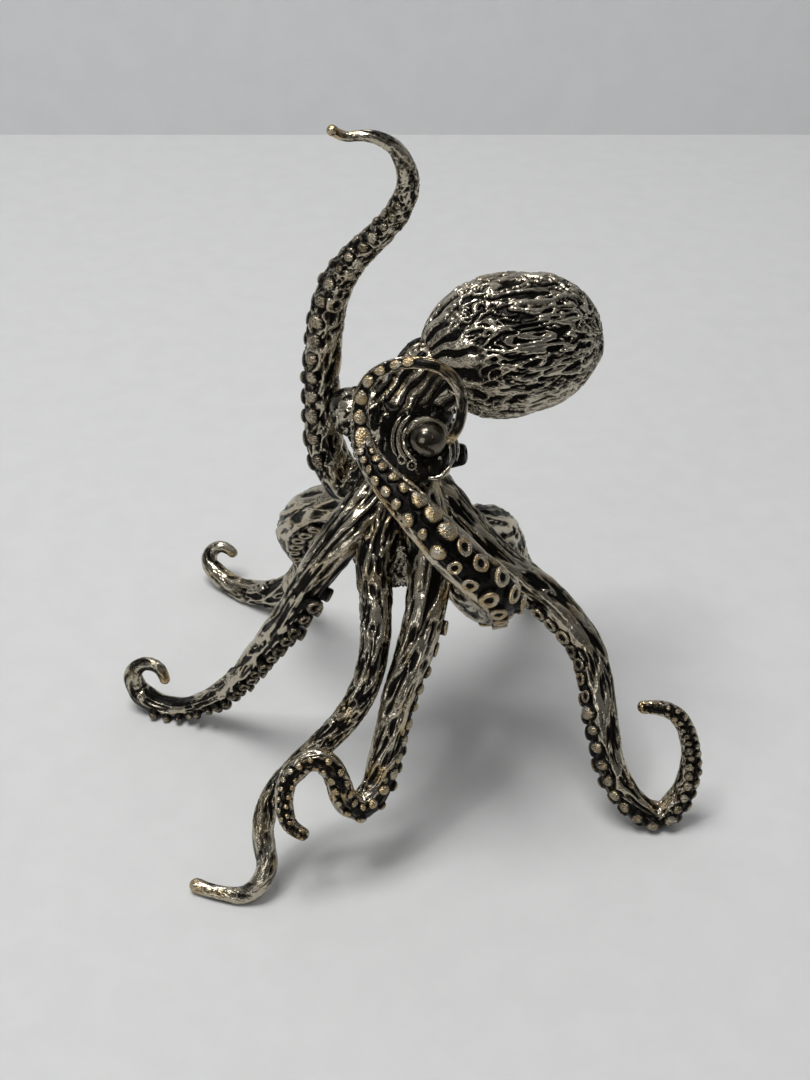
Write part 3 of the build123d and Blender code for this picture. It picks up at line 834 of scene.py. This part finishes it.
def on_circle(radius, degrees, center=(0, 0)):
    """Points of a circle round a center at some angles."""
    angles = [math.radians(angle) for angle in degrees]
    return [(center[0] + radius * math.cos(a), center[1] + radius * math.sin(a)) for a in angles]


def add_eye_details(pieces, skin):
    """Lid, nested folds, rim lines and the small ring round the near eye."""
    lines = list(turret_lines)
    for radius, first, last, thickness in lash_arcs:
        radii = (lash_end, *(thickness,) * 7, lash_end)
        lines.append((on_circle(radius, np.linspace(first, last, len(radii))), radii))
    hood = [on_circle(radius, [angle])[0] for radius, angle, _ in hood_arc]
    lines.append((hood, [thickness for _, _, thickness in hood_arc]))
    lines.append((on_circle(ring_radius, np.linspace(0, 360, 13), ring_center), (ring_thickness,) * 13))
    for line, radii in lines:
        add_cord(pieces, np.array([seen_at(skin, across, up) for across, up in line]), radii)
    for center, radius in beads:
        add_ball(pieces, seen_at(skin, *center), radius, detail_wear, 8, 12)


# Skin of the head, in millimetres. Streaks are (width, reach, seed).
broad_streaks, fine_streaks = (0.66, 2.8, 70), (0.30, 1.2, 71)
fine_share = 0.35
streak_edges = (0.14, 0.55)
front_edges = (-3.5, -1.5)
# Bold polished ridges on the skull above the eye, running down to the left
bold_spacing, bold_wander, bold_edges = 0.98, 0.55, (-0.6, 0.3)
bold_across, bold_up = 0.80, 0.60
bold_from_eye, bold_to_top, bold_to_left = (1.5, 2.2), (6.6, 5.6), (-4.6, -3.8)
bold_height, bold_level = 0.30, 0.4
# Black hollows round the eye and left of it, with a few bright flecks
dark_edges, dark_up = (3.3, 2.9), 0.35
hollow_edges, hollow_size, hollow_place = (1.9, 1.3), (0.8, 2.0), (-3.3, -0.1)
fleck_scale, fleck_edges, fleck_height = (0.34, 0.8, 0.8), (0.20, 0.34), 0.85
flecks_round_eye = 0.6
head_wrinkle_height, head_lump_height = 0.36, 0.12


def build_head(material, shoulders):
    """The head with bold folds, fibres that fan out into the arms, and lids round the near eye."""
    points, quads, normals = refined(*head_skin())
    grid = flow_grid()
    lines = streaks(points, grid, *broad_streaks) + fine_share * streaks(points, grid, *fine_streaks)
    relief = 1 - smooth(*streak_edges, np.abs(lines))
    from_eye = points - near_eye
    across, up = from_eye[:, 0], from_eye @ up_view
    front = smooth(*front_edges, from_eye @ toward_view)
    slant = bold_across * across - bold_up * up + bold_wander * noise(points / 2.0, 74)
    ridges = smooth(*bold_edges, np.cos(slant / bold_spacing * 2 * np.pi))
    over = front * smooth(*bold_from_eye, up) * smooth(*bold_to_top, up) * smooth(*bold_to_left, across)
    relief = relief * (1 - over) + ridges * over
    around = front * smooth(*dark_edges, np.hypot(across, up + dark_up))
    from_hollow = np.stack([across, up], 1) - hollow_place
    hollow = front * smooth(*hollow_edges, norm(from_hollow / hollow_size, axis=1))
    flecks = fleck_height * smooth(*fleck_edges, noise(points / fleck_scale, 75))
    flecks = flecks * np.maximum(flecks_round_eye * around, hollow)
    relief = relief * (1 - np.maximum(around, hollow)) + flecks
    rise = head_wrinkle_height * (relief - middle_relief) + head_lump_height * noise(points / 1.5, 72)
    rise = rise + bold_height * over * (relief - bold_level)
    points = points + normals * rise[:, None]
    gold = 0.25 * smooth(0.0, 0.6, noise(points / 3.0, 79))
    pieces = Pieces().add(points, quads, relief, points, gold)
    for surface, root in shoulders:
        add_rows(pieces, surface, 0, root)
    add_eye_details(pieces, points)
    pieces.build("head", material)


eye_fullness = 1.03
eye_wear = 0.15


def build_eye(name, center, material):
    """A polished eye ball."""
    out = unit(center - place(skull_shares) + np.array([0.0, -1.0, 0.6]))
    side = unit(np.cross(out, (0, 0, 1)))
    rows, columns = 40, 56
    points = ball(center, eye_radius * eye_fullness, out, side, np.cross(side, out), rows, columns)
    Pieces().add(points, grid_quads(rows, columns), 1.0, points, eye_wear).build(name, material)


# Profile of the funnel, from inside the head round its mouth into its bore: (share of its length, radius)
funnel_profile = [
    (-0.6, 0.95), (0.1, 1.10), (0.35, 1.04), (0.52, 0.96), (0.66, 0.88), (0.76, 0.74), (0.79, 0.58),
    (0.75, 0.44), (0.66, 0.36), (0.55, 0.30), (0.50, 0.02),
]


def build_funnel(material):
    """The short dark tube beside the near eye."""
    axis = unit(np.array(funnel_direction_shares))
    side = unit(np.cross(axis, (0, 0, 1)))
    up = np.cross(side, axis)
    rows, columns = 40, 32
    rim_edges, fleck_size, fleck_limits = (0.55, 0.72), (0.9, 0.9, 0.45), (0.15, 0.35)
    rise, level = 0.10, 0.3
    profile, _, _ = natural_spline(funnel_profile, rows)
    along, wide = np.repeat(profile, columns, 0).T
    angle = turns(columns)[:, None]
    radial = np.tile(np.cos(angle) * side + np.sin(angle) * up, (rows, 1))
    points = place(funnel_shares) + along[:, None] * funnel_length * axis + wide[:, None] * radial
    rim = smooth(*rim_edges, along)
    relief = 0.25 * rim + smooth(*fleck_limits, noise(points / fleck_size, 63)) * (0.4 + 0.3 * rim)
    points = points + rise * (relief[:, None] - level) * radial
    Pieces().add(points, grid_quads(rows, columns), relief, points, 0.0).build("funnel", material)


# Materials

def new_material(name):
    """A material with its node tree and its shader."""
    material = bpy.data.materials.new(name)
    material.use_nodes = True
    return material, material.node_tree, material.node_tree.nodes["Principled BSDF"]


def attribute(tree, name, output="Fac"):
    """A mesh attribute's value."""
    node = tree.nodes.new("ShaderNodeAttribute")
    node.attribute_name = name
    return node.outputs[output]


def ramp(tree, stops, source):
    """A colour ramp with stops of (place, grey or colour)."""
    node = tree.nodes.new("ShaderNodeValToRGB")
    node.color_ramp.interpolation = "EASE"
    elements = node.color_ramp.elements
    while len(elements) < len(stops):
        elements.new(0.5)
    for element, (at, color) in zip(elements, stops):
        element.position = at
        element.color = (*color, 1) if isinstance(color, tuple) else (color, color, color, 1)
    tree.links.new(source, node.inputs["Fac"])
    return node.outputs["Color"]


def combine(tree, operation, a, b):
    """A math node of two inputs, each a socket or a number."""
    node = tree.nodes.new("ShaderNodeMath")
    node.operation = operation
    for socket, value in zip(node.inputs, (a, b)):
        if isinstance(value, (int, float)):
            socket.default_value = value
        else:
            tree.links.new(value, socket)
    return node.outputs[0]


def spread(tree, value, amount):
    """A texture's value made to lie round zero, times an amount."""
    return combine(tree, "MULTIPLY", combine(tree, "SUBTRACT", value, 0.5), amount)


def texture(tree, vector, scale, detail, roughness=0.55):
    """A noise texture's value."""
    node = tree.nodes.new("ShaderNodeTexNoise")
    node.inputs["Scale"].default_value = scale
    node.inputs["Detail"].default_value = detail
    node.inputs["Roughness"].default_value = roughness
    tree.links.new(vector, node.inputs["Vector"])
    return node.outputs["Fac"]


def add_bump(tree, shader, height, strength, distance):
    """Fine unevenness of the surface, with its height in metres."""
    bump = tree.nodes.new("ShaderNodeBump")
    bump.inputs["Strength"].default_value = strength
    bump.inputs["Distance"].default_value = distance
    tree.links.new(height, bump.inputs["Height"])
    tree.links.new(bump.outputs["Normal"], shader.inputs["Normal"])


# Textures of the cast metal, per millimetre, and how strongly they break up the edges of the patina
fine_scale, fine_amount = 2.6, 1.1
fine_stretch = (0.45, 1.0, 1.0)
grain_scale, grain_amount = 6.0, 0.15
blotch_scale = 0.55
hollow_roughness, slope_roughness = 0.34, 0.07
cast_bump, cast_bump_height = 0.8, 0.00016
eye_bump, eye_bump_height = 0.4, 0.00006


def cast_metal(name, dark, middle, bright, gold, roughness):
    """Patinated metal: dark in the wrinkles, silver on the ridges and golden where it is worn through."""
    material, tree, shader = new_material(name)
    relief = attribute(tree, "relief")
    wear = attribute(tree, "wear")
    flow = attribute(tree, "flow", "Vector")
    stretch = tree.nodes.new("ShaderNodeMapping")
    stretch.inputs["Scale"].default_value = fine_stretch
    tree.links.new(flow, stretch.inputs["Vector"])
    fine = texture(tree, stretch.outputs["Vector"], fine_scale, 2.0)
    grain = texture(tree, flow, grain_scale, 2.0, 0.5)
    blotch = texture(tree, flow, blotch_scale, 2.0)
    shown = combine(tree, "ADD", relief, spread(tree, fine, fine_amount))
    shown = combine(tree, "ADD", shown, spread(tree, grain, grain_amount))
    worn = combine(tree, "MULTIPLY", wear, ramp(tree, [(0.36, 0.0), (0.58, 1.0)], blotch))
    worn = combine(tree, "MULTIPLY", worn, ramp(tree, [(0.30, 0.0), (0.60, 1.0)], shown))
    mix = tree.nodes.new("ShaderNodeMix")
    mix.data_type = "RGBA"
    tree.links.new(worn, mix.inputs["Factor"])
    tree.links.new(ramp(tree, [(0.30, dark), (0.52, middle), (0.78, bright)], shown), mix.inputs["A"])
    mix.inputs["B"].default_value = (*gold, 1)
    tree.links.new(mix.outputs["Result"], shader.inputs["Base Color"])
    tree.links.new(ramp(tree, [(0.15, 0.85), (0.45, 1.0)], shown), shader.inputs["Metallic"])
    stops = [(0.15, hollow_roughness), (0.5, roughness + slope_roughness), (0.9, roughness)]
    tree.links.new(ramp(tree, stops, shown), shader.inputs["Roughness"])
    height = combine(tree, "ADD", fine, combine(tree, "MULTIPLY", grain, grain_amount))
    add_bump(tree, shader, height, cast_bump, cast_bump_height)
    return material


def polished(name, color, roughness):
    """The bright metal of the eyes, slightly hazy and scratched."""
    material, tree, shader = new_material(name)
    haze = texture(tree, attribute(tree, "flow", "Vector"), 1.6, 3.0)
    dull = tuple(0.55 * c for c in color)
    tree.links.new(ramp(tree, [(0.3, dull), (0.6, color)], haze), shader.inputs["Base Color"])
    shader.inputs["Metallic"].default_value = 1.0
    tree.links.new(ramp(tree, [(0.3, roughness + 0.14), (0.7, roughness)], haze), shader.inputs["Roughness"])
    add_bump(tree, shader, haze, eye_bump, eye_bump_height)
    return material


def paper(name, color, scale):
    """A matte, faintly mottled surface for the floor and the backdrop."""
    material, tree, shader = new_material(name)
    position = tree.nodes.new("ShaderNodeNewGeometry").outputs["Position"]
    shade = tuple(0.97 * c for c in color)
    mottled = ramp(tree, [(0.3, shade), (0.7, color)], texture(tree, position, scale, 3.0))
    tree.links.new(mottled, shader.inputs["Base Color"])
    shader.inputs["Roughness"].default_value = 0.85
    return material


silver = cast_metal(
    "antiqued_silver", dark=(0.008, 0.007, 0.006), middle=(0.10, 0.09, 0.07), bright=(0.50, 0.45, 0.36),
    gold=(0.46, 0.33, 0.16), roughness=0.20,
)
black = cast_metal(
    "blackened_silver", dark=(0.006, 0.006, 0.006), middle=(0.03, 0.028, 0.025), bright=(0.30, 0.28, 0.24),
    gold=(0.3, 0.2, 0.1), roughness=0.35,
)
eye_silver = polished("polished_silver", (0.14, 0.125, 0.10), 0.13)

shoulders = [build_arm(name, number, silver) for number, name in enumerate(arm_routes)]
build_mantle(silver)
build_head(silver, shoulders)
build_eye("near_eye", near_eye, eye_silver)
build_eye("far_eye", place(far_eye_shares), eye_silver)
build_funnel(black)

# Floor and backdrop, in metres
half_width = 0.6
wall_foot = 0.145
wall_top, wall_height = 0.30, 0.7


def add_sheet(name, near, far, material):
    """A flat sheet between two level edges, each given as (away, up)."""
    mesh = bpy.data.meshes.new(name)
    corners = [(-half_width, *near), (half_width, *near), (half_width, *far), (-half_width, *far)]
    mesh.from_pydata(corners, [], [(0, 1, 2, 3)])
    mesh.materials.append(material)
    sheet = bpy.data.objects.new(name, mesh)
    bpy.context.scene.collection.objects.link(sheet)
    return sheet


floor_paper = paper("floor_paper", (0.70, 0.705, 0.70), 300)
backdrop_paper = paper("backdrop_paper", (0.72, 0.73, 0.74), 200)
floor = add_sheet("floor", (-half_width, 0), (wall_foot, 0), floor_paper)
wall = add_sheet("backdrop", (wall_foot, 0), (wall_top, wall_height), backdrop_paper)

# Sky: darker towards the viewer's side of the room, brighter overhead and behind
sky_from_above, sky_from_behind = 0.55, 0.45
sky_strength = 0.34
scene = bpy.context.scene
world = bpy.data.worlds.new("studio")
world.use_nodes = True
sky = world.node_tree
direction = sky.nodes.new("ShaderNodeTexCoord")
split = sky.nodes.new("ShaderNodeSeparateXYZ")
sky.links.new(direction.outputs["Generated"], split.inputs["Vector"])
above = combine(sky, "MULTIPLY", split.outputs["Z"], sky_from_above)
behind = combine(sky, "MULTIPLY", split.outputs["Y"], sky_from_behind)
level = combine(sky, "ADD", combine(sky, "MULTIPLY", combine(sky, "ADD", above, behind), 0.5), 0.5)
glow = ramp(sky, [(0.22, 0.07), (0.52, (0.40, 0.41, 0.42)), (0.92, 1.5)], level)
sky.links.new(glow, sky.nodes["Background"].inputs["Color"])
sky.nodes["Background"].inputs["Strength"].default_value = sky_strength
scene.world = world


def add_light(name, location, target, size, energy, color=(1, 1, 1)):
    """A square area light that looks at a target."""
    lamp = bpy.data.lights.new(name, "AREA")
    lamp.size = size
    lamp.energy = energy
    lamp.color = color
    holder = bpy.data.objects.new(name, lamp)
    holder.location = location
    holder.rotation_euler = (Vector(target) - Vector(location)).to_track_quat("-Z", "Y").to_euler()
    scene.collection.objects.link(holder)


add_light("key", (-0.08, -0.02, 0.41), (0, 0, 0), size=0.18, energy=1.02, color=(0.99, 0.99, 0.98))
add_light("fill", (-0.26, -0.38, 0.24), (0, 0, 0.02), size=0.20, energy=0.24)
add_light("lamp", (-0.14, -0.10, 0.40), (0, 0, 0.02), size=0.03, energy=0.10)

# Camera, at the photograph's angle
lens = bpy.data.cameras.new("camera")
lens.lens = focal_length
lens.sensor_width = sensor_width
lens.clip_start = 0.005
camera = bpy.data.objects.new("camera", lens)
camera.location = (np.array(camera_target) + camera_distance * toward_view + shift) * 0.001
camera.rotation_euler = (math.pi / 2 - elevation, 0, 0)
scene.collection.objects.link(camera)
scene.camera = camera
scene.view_settings.view_transform = "Standard"
